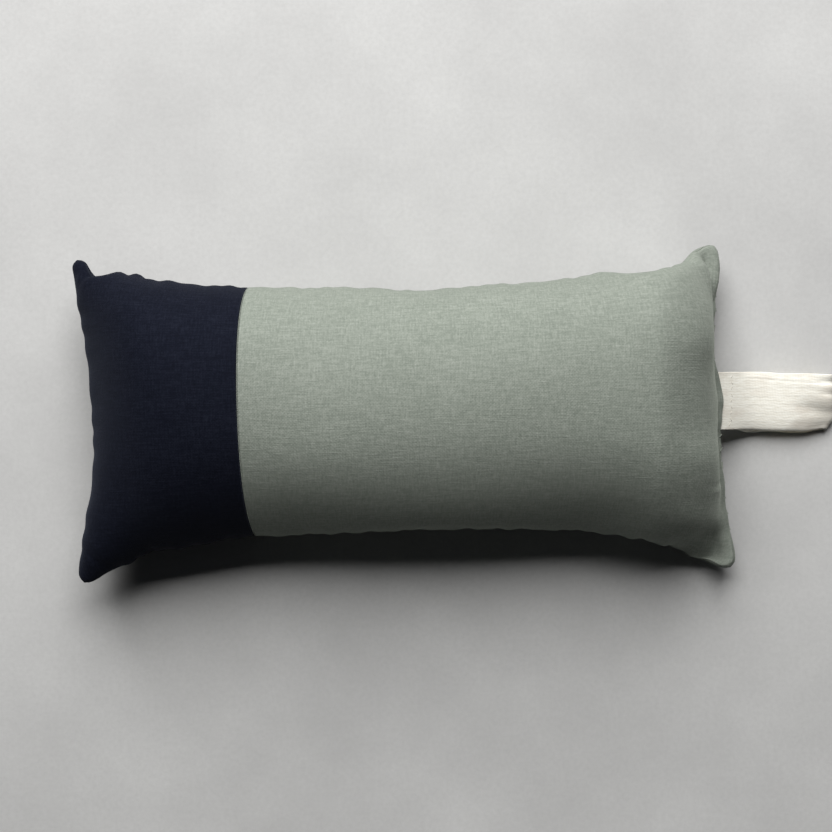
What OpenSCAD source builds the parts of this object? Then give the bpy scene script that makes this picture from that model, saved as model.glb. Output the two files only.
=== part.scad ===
// Eye pillow: a two-colour linen cover, an inner bag of flaxseed and a hanging loop of cotton tape.
// Millimetres. The origin is the middle of the face that rests on the table, +X points to the
// end that carries the loop, +Z points up.

/* [Pillow] */
// Length of the filled pillow, from corner to corner
pillow_length = 222; // [190:1:250]
// Width of the filled pillow, from corner to corner
pillow_width = 109; // [95:1:125]
// Height of the filled pillow as it lies on a table
pillow_height = 58; // [46:1:62]
// Height of the edge seam above the table
seam_height = 14; // [12:1:18]
// How far the back panel would hang below the edge seam if no table held it up
back_hang = 22; // [20:1:30]
// How far each long side pulls in between its corners
side_pull_in = 13.5; // [6:0.5:18]
// How far each short end pulls in between its corners
end_pull_in = 4.5; // [0:0.5:7]
// Distance from the middle of the pillow to the seam between the two colours
join_x = 53; // [35:1:70]

/* [Cloth] */
// Thickness of the linen cover
linen = 0.6; // [0.4:0.1:1]
// Thickness of the muslin inner bag
muslin = 0.4; // [0.3:0.1:0.6]
// Diameter of the sewing thread
thread = 0.6; // [0.4:0.1:0.8]
// Room between the cover and the inner bag, along the sides
bag_room = 1.4; // [1:0.1:3]
// Room between the cover and the inner bag at each end, where the seam allowances lie
end_room = 10; // [10:1:15]

/* [Hanging loop] */
// Width of the cotton tape
tape_width = 20; // [12:1:25]
// Thickness of one layer of tape
tape = 0.5; // [0.4:0.1:0.8]
// Sideways distance from the pillow's centre line to the middle of the tape
loop_y = 1; // [-10:1:10]
// Length from the hinge line to the centre of the round fold
loop_length = 39.5; // [38:0.5:46]
// Outer radius of the round fold
fold_radius = 5; // [4.5:0.5:6]
// Length of flat double tape between the closing seam and the opening of the loop
flat_length = 6; // [4:1:8]
// Length of the cut ends inside the closing seam
tail_length = 9; // [6:0.5:9.5]

/* [Hidden] */

// Rows of the grid that each cloth surface is built from
rows_across = 17;
rows_cover = 31;
rows_bag = 23;
// Sides of a thread's cross-section
thread_sides = 6;

// How the pillow swells: powers along the length, along the width and over both
swell_length = 4;
swell_width = 2.4;
swell_round = 0.6;
pull_in_power = 2.5;

// Insets of the surfaces from the outside of the cover, and half the filling's thickness at its edge
cover_in = linen;
bag_out = linen + bag_room;
bag_in = bag_out + muslin;
fill_out = bag_in + 0.3;
fill_edge = 0.05;
// How far a filled half passes the plane of the edge seam before it is cut there
collar_height = 5;

// Hand stitches over the folded edges at the loop end
stitch_pitch = 6;
stitch_height = 2.4;
// Distance between the tack stitches across the tape
tack_pitch = 2.5;

// The loop's hinge line stands just outside the closing seam
tail_outside = 1;
hinge_gap = 0.3;
closing_x = pillow_length / 2 - end_pull_in;
hinge_x = closing_x + tail_outside + hinge_gap + tape;
droop = asin((seam_height - fold_radius) / loop_length);

// Outline of the pillow: half length at a place across it, half width at a place along it
function half_length(v, inset, room) = pillow_length / 2 - inset - room - end_pull_in * (1 - v * v);
function half_width(u, inset) = pillow_width / 2 - inset - side_pull_in * (1 - pow(abs(u), pull_in_power));

// Swell of the surface, 0 at the edge seam and 1 in the middle
function swell(u, v) =
    pow(max(0, 1 - pow(abs(u), swell_length)) * max(0, 1 - pow(abs(v), swell_width)), swell_round);

// How far a panel swells from the plane of the edge seam, with up = 1 for the front and -1 for the back
function rise(up) = up > 0 ? pillow_height - seam_height : back_hang;

// A point of the cover, with up = 1 for the front and -1 for the back, which lies flat on base
function cloth_point(u, v, up, inset, room, base, edge) =
    let (x = u * half_length(v, inset, room)) [
        x,
        v * half_width(x / half_length(v, 0, 0), inset),
        max(base, seam_height + up * (edge + (rise(up) - inset) * swell(u, v)))
    ];

// One surface of cloth as a grid of points, closer together near its edges
function surface_points(rows, up, inset, room, base, edge) = [
    for (i = [0:rows], j = [0:rows_across])
        let (u = -cos(180 * i / rows), v = sin(90 * (2 * j / rows_across - 1)))
        cloth_point(u, v, up, inset, room, base, edge)
];

// Two triangles for a square of four point numbers
function halves(a, b, c, d) = [[a, b, c], [a, c, d]];

// A closed solid between two surfaces of the same grid, the upper one first
module between(upper, lower, rows) {
    wide = rows_across + 1;
    count = wide * (rows + 1);
    faces = concat(
        [for (i = [0:rows - 1], j = [0:rows_across - 1])
            let (p = i * wide + j) each halves(p, p + 1, p + wide + 1, p + wide)],
        [for (i = [0:rows - 1], j = [0:rows_across - 1])
            let (p = count + i * wide + j) each halves(p, p + wide, p + wide + 1, p + 1)],
        [for (i = [0:rows - 1])
            let (p = i * wide) each halves(p, p + wide, p + wide + count, p + count)],
        [for (i = [0:rows - 1])
            let (p = i * wide + rows_across) each halves(p, p + count, p + wide + count, p + wide)],
        [for (j = [0:rows_across - 1]) each halves(j, j + count, j + 1 + count, j + 1)],
        [for (j = [0:rows_across - 1])
            let (p = rows * wide + j) each halves(p, p + 1, p + 1 + count, p + count)]
    );
    polyhedron(concat(upper, lower), faces);
}

// Half of the pillow, filled in, with a straight collar that passes the plane of the edge seam
module filled_half(rows, up, inset, room, base) {
    surface = surface_points(rows, up, inset, room, base, 0);
    collar = [for (p = surface) [p.x, p.y, seam_height - up * collar_height]];
    if (up > 0) between(surface, collar, rows);
    else between(collar, surface, rows);
}

// One layer of cloth from the edge seam inwards: the front bulges up, the back bulges down and lies flat
module cloth(rows, up, outside, inside, room, base) {
    difference() {
        filled_half(rows, up, outside, room, base);
        filled_half(rows, up, inside, room, base + inside - outside);
        translate([-pillow_length, -pillow_width, seam_height - (up > 0 ? pillow_height : 0)])
            cube([2 * pillow_length, 2 * pillow_width, pillow_height]);
    }
}

// The slit in the closing seam that the tape passes through
module tape_slit() {
    translate([closing_x - tail_length, loop_y - tape_width / 2, seam_height - tape])
        cube([tail_length + tail_outside, tape_width, 2 * tape]);
}

// The space on the plain end's side of the seam between the colours
module plain_end() {
    translate([-pillow_length, -pillow_width, -1])
        cube([pillow_length - join_x, 2 * pillow_width, pillow_height + 2]);
}

module sage_panel(up) {
    difference() {
        cloth(rows_cover, up, 0, cover_in, 0, 0);
        plain_end();
        tape_slit();
    }
}

module navy_panel(up) {
    intersection() {
        cloth(rows_cover, up, 0, cover_in, 0, 0);
        plain_end();
    }
}

module front_sage_panel() { color([0.56, 0.60, 0.54]) sage_panel(1); }
module front_navy_panel() { color([0.13, 0.15, 0.21]) navy_panel(1); }
module back_sage_panel() { color([0.56, 0.60, 0.54]) sage_panel(-1); }
module back_navy_panel() { color([0.13, 0.15, 0.21]) navy_panel(-1); }

// Direction from one point to another, of length 1
function toward(a, b) = (b - a) / norm(b - a);

// A thread swept along a list of points, with a frame that stays square to the way it faces
module thread_along(path, side) {
    last = len(path) - 1;
    points = [
        for (i = [0:last])
            let (
                way = toward(path[max(0, i - 1)], path[min(last, i + 1)]),
                across = toward([0, 0, 0], cross(way, side)),
                above = cross(across, way)
            )
            for (k = [0:thread_sides - 1])
                let (angle = 360 * k / thread_sides)
                path[i] + thread / 2 * (cos(angle) * across + sin(angle) * above)
    ];
    faces = concat(
        [for (i = [0:last - 1], k = [0:thread_sides - 1])
            let (n = (k + 1) % thread_sides, p = i * thread_sides)
            each halves(p + k, p + thread_sides + k, p + thread_sides + n, p + n)],
        [[for (k = [0:thread_sides - 1]) k]],
        [[for (k = [thread_sides - 1:-1:0]) last * thread_sides + k]]
    );
    polyhedron(points, faces);
}

// The seam between the colours, halfway through the cloth
module join_thread(up) {
    middle = linen / 2;
    steps = 2 * rows_across;
    path = [
        for (j = [1:steps - 1])
            let (v = sin(90 * (2 * j / steps - 1)), u = -join_x / half_length(v, middle, 0))
            cloth_point(u, v, up, middle, 0, middle, 0)
    ];
    color([0.10, 0.11, 0.15]) thread_along(path, [1, 0, 0]);
}

module front_join_thread() { join_thread(1); }
module back_join_thread() { join_thread(-1); }

// A path round the edge seam, from the loop end along one side, the plain end and the other side
function edge_path(inset, room, steps) = concat(
    [for (i = [0:steps]) cloth_point(cos(90 * i / steps), 1, 1, inset, room, 0, 0)],
    [for (i = [1:steps]) cloth_point(-sin(90 * i / steps), 1, 1, inset, room, 0, 0)],
    [for (i = [1:steps]) cloth_point(-1, cos(180 * i / steps), 1, inset, room, 0, 0)],
    [for (i = [1:steps]) cloth_point(-cos(90 * i / steps), -1, 1, inset, room, 0, 0)],
    [for (i = [1:steps]) cloth_point(sin(90 * i / steps), -1, 1, inset, room, 0, 0)]
);

module edge_seam_thread() {
    color([0.10, 0.11, 0.15]) thread_along(edge_path(cover_in, 0, 12), [0, 0, 1]);
}

// Hand-made stitches over the folded edges at the loop end, with a gap where the tape passes
module closing_stitches() {
    reach = floor((pillow_width / 2 - 4) / stitch_pitch);
    tape_clear = tape_width / 2 + 1;
    color([0.33, 0.36, 0.32])
        for (i = [-reach:reach])
            if (abs(i * stitch_pitch - loop_y) > tape_clear)
                let (v = i * stitch_pitch / (pillow_width / 2))
                translate([half_length(v, 0, 0), i * stitch_pitch, seam_height - stitch_height / 2])
                    cylinder(h = stitch_height, d = thread, $fn = 16);
}

module inner_bag_front() {
    color([0.90, 0.87, 0.79]) cloth(rows_bag, 1, bag_out, bag_in, end_room, linen);
}

module inner_bag_back() {
    color([0.90, 0.87, 0.79]) cloth(rows_bag, -1, bag_out, bag_in, end_room, linen);
}

module inner_bag_thread() {
    color([0.95, 0.94, 0.90]) thread_along(edge_path(bag_in, end_room, 12), [0, 0, 1]);
}

module seed_filling() {
    base = linen + muslin;
    color([0.42, 0.27, 0.15])
        between(
            surface_points(rows_bag, 1, fill_out, end_room, base, fill_edge),
            surface_points(rows_bag, -1, fill_out, end_room, base, fill_edge),
            rows_bag
        );
}

module loop_tails() {
    color([0.90, 0.88, 0.82]) tape_slit();
}

// Half the height of the opening at a distance from the hinge line
function loop_rise(s) =
    let (part = (s - flat_length) / (loop_length - flat_length))
    (fold_radius - tape) * (1 - cos(180 * part)) / 2;

// Side view of the loop's opening, grown by half the thickness that is asked for
function opening_outline(grow, steps = 14) = concat(
    [for (i = [0:steps])
        let (s = flat_length + (loop_length - flat_length) * i / steps) [s, grow + loop_rise(s)]],
    [for (a = [80:-10:-80]) [loop_length, 0] + (fold_radius - tape + grow) * [cos(a), sin(a)]],
    [for (i = [steps:-1:grow > 0 ? 0 : 1])
        let (s = flat_length + (loop_length - flat_length) * i / steps) [s, -grow - loop_rise(s)]]
);

// Side view of the whole loop: the flat double tape from the hinge line, then the fold
function loop_outline() = concat([[0, -tape], [0, tape]], opening_outline(tape));

// Puts the loop's own side view, drawn flat from its hinge line, where the loop lies
module on_hinge() {
    translate([hinge_x, loop_y + tape_width / 2, seam_height])
        rotate([0, droop, 0])
            rotate([90, 0, 0])
                children();
}

module hanging_loop() {
    color([0.90, 0.88, 0.82])
        on_hinge() {
            cylinder(h = tape_width, r = tape, $fn = 32);
            linear_extrude(tape_width)
                difference() {
                    polygon(loop_outline());
                    polygon(opening_outline(0));
                }
        }
}

// Short stitches through both layers of the flat tape, just before the loop opens
module loop_tack_stitches() {
    count = floor(tape_width / tack_pitch) - 1;
    color([0.93, 0.92, 0.88])
        on_hinge()
            for (i = [1:count])
                translate([flat_length - 1.5, 0, i * tape_width / (count + 1)])
                    rotate([90, 0, 0])
                        cylinder(h = 2 * tape + 0.3, d = thread, center = true, $fn = 16);
}

front_sage_panel();
front_navy_panel();
back_sage_panel();
back_navy_panel();
front_join_thread();
back_join_thread();
edge_seam_thread();
closing_stitches();
inner_bag_front();
inner_bag_back();
inner_bag_thread();
seed_filling();
loop_tails();
hanging_loop();
loop_tack_stitches();
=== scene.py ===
"""Eye pillow of two linens with a hanging loop of cotton tape, lying flat and seen from above."""
import math

import bpy
import numpy as np
from mathutils import Matrix, Vector


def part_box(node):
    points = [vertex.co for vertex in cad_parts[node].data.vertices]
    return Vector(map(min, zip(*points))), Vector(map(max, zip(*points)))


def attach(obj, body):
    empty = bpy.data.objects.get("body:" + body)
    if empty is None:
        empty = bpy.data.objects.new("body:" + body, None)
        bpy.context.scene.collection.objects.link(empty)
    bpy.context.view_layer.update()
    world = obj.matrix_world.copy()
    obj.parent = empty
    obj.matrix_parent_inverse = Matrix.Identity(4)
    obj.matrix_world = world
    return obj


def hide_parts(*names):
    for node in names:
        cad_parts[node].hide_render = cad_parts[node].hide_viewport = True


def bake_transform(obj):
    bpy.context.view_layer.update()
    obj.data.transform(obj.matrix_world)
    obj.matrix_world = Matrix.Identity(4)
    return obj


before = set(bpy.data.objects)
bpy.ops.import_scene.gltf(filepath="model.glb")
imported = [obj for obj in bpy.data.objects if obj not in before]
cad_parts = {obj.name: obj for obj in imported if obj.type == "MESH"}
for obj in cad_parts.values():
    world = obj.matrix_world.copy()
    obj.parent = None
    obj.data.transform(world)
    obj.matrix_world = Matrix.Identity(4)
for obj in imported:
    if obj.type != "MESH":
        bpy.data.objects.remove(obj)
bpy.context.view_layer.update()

MM = 0.001


def link(obj):
    """Puts an object into the scene."""
    bpy.context.collection.objects.link(obj)
    return obj


# ------ camera, in metres
CAMERA_HEIGHT = 0.640
VIEW_WIDTH = 0.295
PILLOW_TURN = math.radians(1.1)
VIEW_CENTRE = (0.0046, -0.0024)

camera_data = bpy.data.cameras.new("camera")
camera_data.angle = 2 * math.atan(VIEW_WIDTH / 2 / CAMERA_HEIGHT)
camera_data.clip_start = 0.01
camera = link(bpy.data.objects.new("camera", camera_data))
camera.location = Matrix.Rotation(-PILLOW_TURN, 3, "Z") @ Vector((*VIEW_CENTRE, CAMERA_HEIGHT))
camera.rotation_euler = (0, 0, -PILLOW_TURN)
bpy.context.scene.camera = camera


# ------ shape of the filled cover, in millimetres
# The cover is two layers of cloth sewn together round the edge and blown up by its filling. Every
# thread of a grid is a spring, and the table holds the back up.
COVER_LENGTH = 234.0
COVER_WIDTH = 112.5
CORNER_ROUND = 4.0
# How far the plain end and the loop end are cut askew
SLANT_PLAIN = 1.2
SLANT_LOOP = 2.95
# The seam between the colours: its place along the pillow, its bow, its lean and its fold's radius
JOIN_AT = -52.2
JOIN_BOW = 0.1
JOIN_TILT = 0.7
JOIN_ROLL = 0.22
# The cloth's outer face stands this far off the drawn surface, and the cloth is this thick
CLOTH_HALF = 0.65
CLOTH_THICK = 0.6
TABLE = CLOTH_HALF + 0.02

# The grids that the cover is relaxed on, one after the other: spacing of the threads, and steps
GRIDS = (((8, 900), (4, 900), (2, 900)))
# Forces are in millinewtons: stiffness of the cloth and of its seams, what the seams gather, and
# the pressure and weight of the filling
STRETCH = 900.0
SHEAR = 20.0
SQUEEZE = 0.35
BENDING = 8.0
SEAM_BENDING = 6.0
SIDE_GATHER = 0.92
PRESSURE = 0.35
SEED_WEIGHT = 0.68 * 9.81e-3
# Share of the longest safe time step, speed kept at each step, and speed kept while sliding on the table
STEP_SHARE = 0.85
DAMPING = 0.992
SLIDING = 0.85
# Least gap between the layers: how it grows from the edge, and its most
GAP_GROWS = 0.35
GAP_MOST = 1.4
# Where the two layers start, and the unevenness that they start with
START_HEIGHT = 22
START_BULGE = 8
START_NOISE = 0.4

ALL = slice(None)


def smooth_step(value, low, high):
    """0 up to low, 1 from high on, and a smooth rise between."""
    t = np.clip((value - low) / (high - low), 0, 1)
    return t * t * (3 - 2 * t)


def hump(value, at, reach, power=2):
    """1 where value is at, and near 0 past reach on both sides; a higher power makes it squarer."""
    return np.exp(-(((value - at) / reach) ** power))


def unit(v):
    """Vectors made one long."""
    return v / (np.linalg.norm(v, axis=-1, keepdims=True) + 1e-12)


def spline_rows(places, count):
    """Weights that take values at 0..count-1 to any places between, on a smooth curve."""
    places = np.clip(np.asarray(places, float), 0, count - 1)
    i = np.minimum(places.astype(int), count - 2)
    f = places - i
    w = np.zeros((len(places), count))
    rows = np.arange(len(places))
    shares = (
        (-1, -0.5 * f + f**2 - 0.5 * f**3),
        (0, 1 - 2.5 * f**2 + 1.5 * f**3),
        (1, 0.5 * f + 2 * f**2 - 1.5 * f**3),
        (2, -0.5 * f**2 + 0.5 * f**3),
    )
    for step, share in shares:
        j = i + step
        inside = (j >= 0) & (j < count)
        np.add.at(w, (rows[inside], j[inside]), share[inside])
        for outside, edge, inner in ((j < 0, 0, 1), (j >= count, count - 1, count - 2)):
            np.add.at(w, (rows[outside], edge), 2 * share[outside])
            np.add.at(w, (rows[outside], inner), -share[outside])
    return w


def refine(grid, places_x, places_y):
    """Values of a grid, held in its last three axes, at other places along both ways of the cloth."""
    wx = spline_rows(places_x, grid.shape[-3])
    wy = spline_rows(places_y, grid.shape[-2])
    return np.einsum("ai,bj,...ijk->...abk", wx, wy, grid, optimize=True)


def flat_pattern(nx, ny):
    """The cut cloth: a rectangle with rounded corners, whose threads follow the curved colour seam."""
    u = np.linspace(-1, 1, nx)[:, None] * np.ones((1, ny))
    v = np.linspace(-1, 1, ny)[None, :] * np.ones((nx, 1))
    half_l, half_w = COVER_LENGTH / 2, COVER_WIDTH / 2
    near_x = np.clip((np.abs(u) * half_l - (half_l - CORNER_ROUND)) / CORNER_ROUND, 0, 1)
    near_y = np.clip((np.abs(v) * half_w - (half_w - CORNER_ROUND)) / CORNER_ROUND, 0, 1)
    x = u * half_l - np.sign(u) * CORNER_ROUND * near_x * (1 - np.sqrt(1 - 0.5 * near_y**2))
    y = v * half_w - np.sign(v) * CORNER_ROUND * near_y * (1 - np.sqrt(1 - 0.5 * near_x**2))
    x += (JOIN_BOW * (1 - v**2) + JOIN_TILT * v) * hump(u * half_l, JOIN_AT, 25)
    x -= v * (SLANT_PLAIN + (u + 1) / 2 * (SLANT_LOOP - SLANT_PLAIN))
    return np.stack([x, y], -1)


def relax(X, steps):
    """Moves the two layers until the pull of the threads and the push of the filling balance."""
    nx, ny = X.shape[1:3]
    flat = flat_pattern(nx, ny)
    step = COVER_LENGTH / (nx - 1)
    threads = []
    for a, b, k in (
        (np.s_[:-1, :], np.s_[1:, :], STRETCH),
        (np.s_[:, :-1], np.s_[:, 1:], STRETCH),
        (np.s_[:-1, :-1], np.s_[1:, 1:], SHEAR),
        (np.s_[:-1, 1:], np.s_[1:, :-1], SHEAR),
    ):
        rest = np.sqrt(((flat[b] - flat[a]) ** 2).sum(-1))[None].astype(np.float32)
        threads.append(((ALL, *a), (ALL, *b), rest, k))
    threads[0][2][:, :, [0, -1]] *= SIDE_GATHER
    stiff = BENDING / step**2
    bend_x = np.full((1, nx - 2, ny, 1), stiff, np.float32)
    bend_y = np.full((1, nx, ny - 2, 1), stiff, np.float32)
    bend_x[:, :, [0, -1]] *= SEAM_BENDING
    bend_y[:, [0, -1]] *= SEAM_BENDING
    mass = np.ones((1, nx, ny, 1), np.float32)
    mass[:, [0, -1]] = 2
    mass[:, :, [0, -1]] = 2
    hardest = 2 * (2 * STRETCH + 2 * SHEAR) + 16 * stiff
    dt = STEP_SHARE * 2 / math.sqrt(hardest * 2)
    V = np.zeros_like(X)
    up = np.array([1, -1], np.float32).reshape(2, 1, 1, 1)
    from_end = np.minimum(np.arange(nx), np.arange(nx)[::-1])[:, None]
    from_side = np.minimum(np.arange(ny), np.arange(ny)[::-1])[None]
    gap_least = np.minimum(GAP_MOST, np.minimum(from_end, from_side) * step * GAP_GROWS)
    bends = (
        (bend_x, np.s_[:, :-2], np.s_[:, 1:-1], np.s_[:, 2:]),
        (bend_y, np.s_[:, :, :-2], np.s_[:, :, 1:-1], np.s_[:, :, 2:]),
    )
    sewn = (np.s_[:, :, 0], np.s_[:, :, -1], np.s_[:, 0, 1:-1], np.s_[:, -1, 1:-1])
    for _ in range(steps):
        F = np.zeros_like(X)
        for a, b, rest, k in threads:
            d = X[b] - X[a]
            length = np.sqrt((d * d).sum(-1)) + 1e-9
            pull = length - rest
            f = (np.where(pull > 0, k, k * SQUEEZE) * pull / length)[..., None] * d
            F[a] += f
            F[b] -= f
        for bend, before, here, after in bends:
            c = bend * (X[before] - 2 * X[here] + X[after])
            F[here] += 2 * c
            F[before] -= c
            F[after] -= c
        area = np.cross(X[:, 1:, 1:] - X[:, :-1, :-1], X[:, :-1, 1:] - X[:, 1:, :-1]) * (up * 0.5)
        depth = X[..., 2].max() - (X[:, 1:, 1:, 2:] + X[:, :-1, :-1, 2:]) * 0.5
        push = area * ((PRESSURE + SEED_WEIGHT * depth) * 0.25)
        F[:, :-1, :-1] += push
        F[:, 1:, :-1] += push
        F[:, :-1, 1:] += push
        F[:, 1:, 1:] += push
        for side in sewn:
            F[side] = F[side].sum(0, keepdims=True)
            X[side] = X[side].mean(0, keepdims=True)
        V = (V + F / mass * dt) * DAMPING
        X += V * dt
        low = X[..., 2] < TABLE
        X[..., 2][low] = TABLE
        V[..., 2][low] = 0
        V[..., :2][low] *= SLIDING
        gap = X[0, ..., 2] - X[1, ..., 2] - gap_least
        half = np.where(gap < 0, gap * 0.5, 0)
        X[0, ..., 2] -= half
        X[1, ..., 2] += half
    return X


def grid_size(step):
    """How many threads a grid of this spacing has along and across the cover."""
    return int(round(COVER_LENGTH / step)) + 1, int(round(COVER_WIDTH / step)) + 1


def fill_cover():
    """The sewn cover, filled: an array of layer (0 front, 1 back), place along and place across."""
    nx, ny = grid_size(GRIDS[0][0])
    flat = flat_pattern(nx, ny)
    X = np.zeros((2, nx, ny, 3), np.float32)
    X[..., :2] = flat
    bulge = np.clip(1 - (flat[..., 0] / (COVER_LENGTH / 2)) ** 4, 0, 1)
    bulge *= np.clip(1 - (flat[..., 1] / (COVER_WIDTH / 2)) ** 2, 0, 1)
    X[0, ..., 2] = START_HEIGHT + START_BULGE * bulge
    X[1, ..., 2] = START_HEIGHT - START_BULGE * bulge
    rng = np.random.default_rng(3)
    for level, (step, steps) in enumerate(GRIDS):
        nx, ny = grid_size(step)
        X = refine(X, np.linspace(0, X.shape[1] - 1, nx), np.linspace(0, X.shape[2] - 1, ny))
        X = X.astype(np.float32)
        noise = rng.normal(size=(2, nx, ny, 1)).astype(np.float32)
        X[..., 2:] += noise * START_NOISE * 0.5**level
        X = relax(X, steps)
    return X.astype(float)


# Moves of the filled shape, most of them at the corners and the loop end: where on the cut
# cloth, how far they reach along and across it, and which way they move both layers
MOVES = (
    ((117, -1), (11, 13), (3.0, 0, 0)),
    ((117, 2), (16, 36), (2.1, 0, 0)),
    ((114, -22), (14, 14), (0.9, 0, 0)),
    ((82, 56), (24, 16), (0, 1.5, 0)),
    ((97, 57), (7, 8), (0, -3.0, 0)),
    ((84, -56), (16, 14), (0, -1.4, 0)),
    ((112, 57), (9, 16), (0.9, 0.6, 0)),
    ((-112, -56), (24, 20), (-0.6, -3.0, 0)),
    ((113, -56), (20, 20), (-0.6, -3.4, 0)),
    ((-74, -56), (10, 9), (0, -1.4, 0)),
    ((-106, 57), (5, 8), (0, -5.5, 0)),
    ((-117, 54), (7, 11), (2.2, -1.2, 0.5)),
    ((-109, 57), (4.5, 6), (-1.6, 0.7, 0)),
    ((-117, -52), (8, 12), (1.5, 0, 0)),
    ((-117, 12), (9, 22), (-1.1, 0, 0)),
    ((105, -53), (12, 8), (0, 0, -6.0)),
    ((119, -54), (6, 8), (0, 0, 1.5)),
    ((117, -12), (8, 11), (-1.0, 0, 0)),
    ((117, 3), (5, 13), (0.9, 0, -0.8)),
    ((117, -22), (5, 8), (0.8, 0, 0)),
    ((117, 30), (5, 9), (0.9, 0, 0)),
    ((-111, 58.5), (3.5, 4.5), (-0.3, -3.0, 0)),
    ((-117, 56), (4, 5), (-0.9, -0.4, 0)),
    ((114, 58), (4, 4), (1.2, 0.5, 0)),
    ((85, 57), (10, 8), (0, -3.6, 0)),
    ((115, 57), (10, 9), (-1.6, -1.2, 0)),
    ((6, 57), (13, 8), (0, -1.5, 0)),
    ((40, 56), (30, 8), (0, -0.4, 0)),
    ((15, -56), (30, 8), (0, 0.6, 0)),
)


# Where the loop lies across the pillow
LOOP_Y = 0.75
# The crest is made level at this height, where the relaxed shape isn't lower by more than this share
CREST = 57.6
FULL = 0.13
FULL_FADES = (82, 110)
# The far side stands higher than the near side by this share, and by this much more near the ends
LEAN = 0.05
LEAN_MORE = 1.8
LEAN_GROWS = (12, 58)
LEAN_FADES = (88, 108)
# The loop end holds less seed: from here to there along the pillow everything sinks by this share
SINK_FROM, SINK_TO, SINK = 82.0, 110.0, 0.53
# How far the front is pushed out and up near the loop end, in two humps, and what the second one
# keeps of its size behind the tape
BLUNT_OUT, BLUNT_UP = 4.2, 2.7
BULGE_OUT, BULGE_UP = 3.0, 5.6
BEHIND_TAPE = 0.6
# The near side is steeper by this, at the two places along the pillow where it is fullest
STEEPER = 1.7
FULLEST = (-34, 64)
# How far the loop end's seam stands out past the cloth above it
OVERHANG = 0.8


def correct(X):
    """The relaxed shape with a level crest, a lean, a low and blunt loop end and the small moves."""
    flat = flat_pattern(*X.shape[1:3])
    flat_x, flat_y = flat[..., 0], flat[..., 1]
    x = X[..., 0]
    from_middle = np.abs(x)
    high = X[0, ..., 2].max(axis=1) - TABLE
    full = np.clip((CREST - TABLE) / high, 1, 1 + FULL) - 1
    for _ in range(12):
        full[1:-1] = (full[:-2] + 2 * full[1:-1] + full[2:]) / 4
    full = full[None, :, None] * (1 - smooth_step(from_middle, *FULL_FADES))
    lean = LEAN * (1 + LEAN_MORE * smooth_step(from_middle, *LEAN_GROWS))
    lean = lean * (1 - smooth_step(from_middle, *LEAN_FADES)) * X[..., 1] / high.max()
    sunk = SINK * smooth_step(x, SINK_FROM, SINK_TO)
    X[..., 2] = TABLE + (X[..., 2] - TABLE) * (1 + full + lean - sunk)
    for at, reach, move in MOVES:
        near = np.exp(-(((flat - at) / reach) ** 2).sum(-1) ** 1.25)
        X += near[None, ..., None] * np.array(move)

    front = X[0]
    middle, half_apart = sum(FULLEST) / 2, (FULLEST[1] - FULLEST[0]) / 2
    fullest = hump(np.abs(flat_x - middle), half_apart, 26)
    front[..., 2] += STEEPER * fullest * (0.4 * hump(flat_y, -15, 12) - hump(flat_y, -43, 11))

    from_end = COVER_LENGTH / 2 - flat_x
    blunt = hump(from_end, 18, 11) * hump(flat_y, 0, 42, 4)
    bulge = (1 - (1 - BEHIND_TAPE) * hump(flat_y, LOOP_Y, 16, 4)) * hump(flat_y, 0, 42, 4)
    front[..., 0] += BLUNT_OUT * blunt + BULGE_OUT * bulge * hump(from_end, 25, 9)
    front[..., 2] += BLUNT_UP * blunt + BULGE_UP * bulge * hump(from_end, 17, 12) * (1 - hump(from_end, 0, 9))

    between_corners = hump(flat_y, 0, 44, 6)
    front[..., 0] -= OVERHANG * hump(from_end, 5, 4) * between_corners
    X[..., 0] += OVERHANG * 0.5 * hump(from_end, 0, 4) * between_corners
    return X


cover = correct(fill_cover())

# Places where the cloth is drawn, in millimetres from the plain end and from the near side, closer
# together at the seams
NX, NY = cover.shape[1:3]
SEAM_ROWS = np.array([0, 0.5, 1.0, 1.6, 2.3, 3.1])
SEAM_REACH = 4
DRAW_STEP = 1.0
join_from_end = COVER_LENGTH / 2 + JOIN_AT


def rows_between(start, end):
    """Places from start to end, fine at both ends and a step apart between."""
    first, last = start + SEAM_REACH, end - SEAM_REACH
    inner = np.linspace(first, last, int(round((last - first) / DRAW_STEP)) + 1)
    return np.concatenate([start + SEAM_ROWS, inner, end - SEAM_ROWS[::-1]])


navy_rows = rows_between(0, join_from_end - JOIN_ROLL)
along = np.concatenate([navy_rows, rows_between(join_from_end + JOIN_ROLL, COVER_LENGTH)])
across = rows_between(0, COVER_WIDTH)
JOIN_COLUMN = len(navy_rows) - 1
N, M = len(along), len(across)


def sampled(grid, a, b):
    """Values of a grid of the cover at places in millimetres from its plain end and its near side."""
    return refine(grid, a / COVER_LENGTH * (NX - 1), b / COVER_WIDTH * (NY - 1))


def cloth_normals(layers):
    """Directions out of both layers of the cover or of something inside it."""
    facing = np.array([1.0, -1.0]).reshape(2, 1, 1, 1)
    return unit(np.cross(np.gradient(layers, axis=1), np.gradient(layers, axis=2)) * facing)


drawn = sampled(cover, along, across)
pattern = sampled(flat_pattern(NX, NY), along, across)


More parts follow.
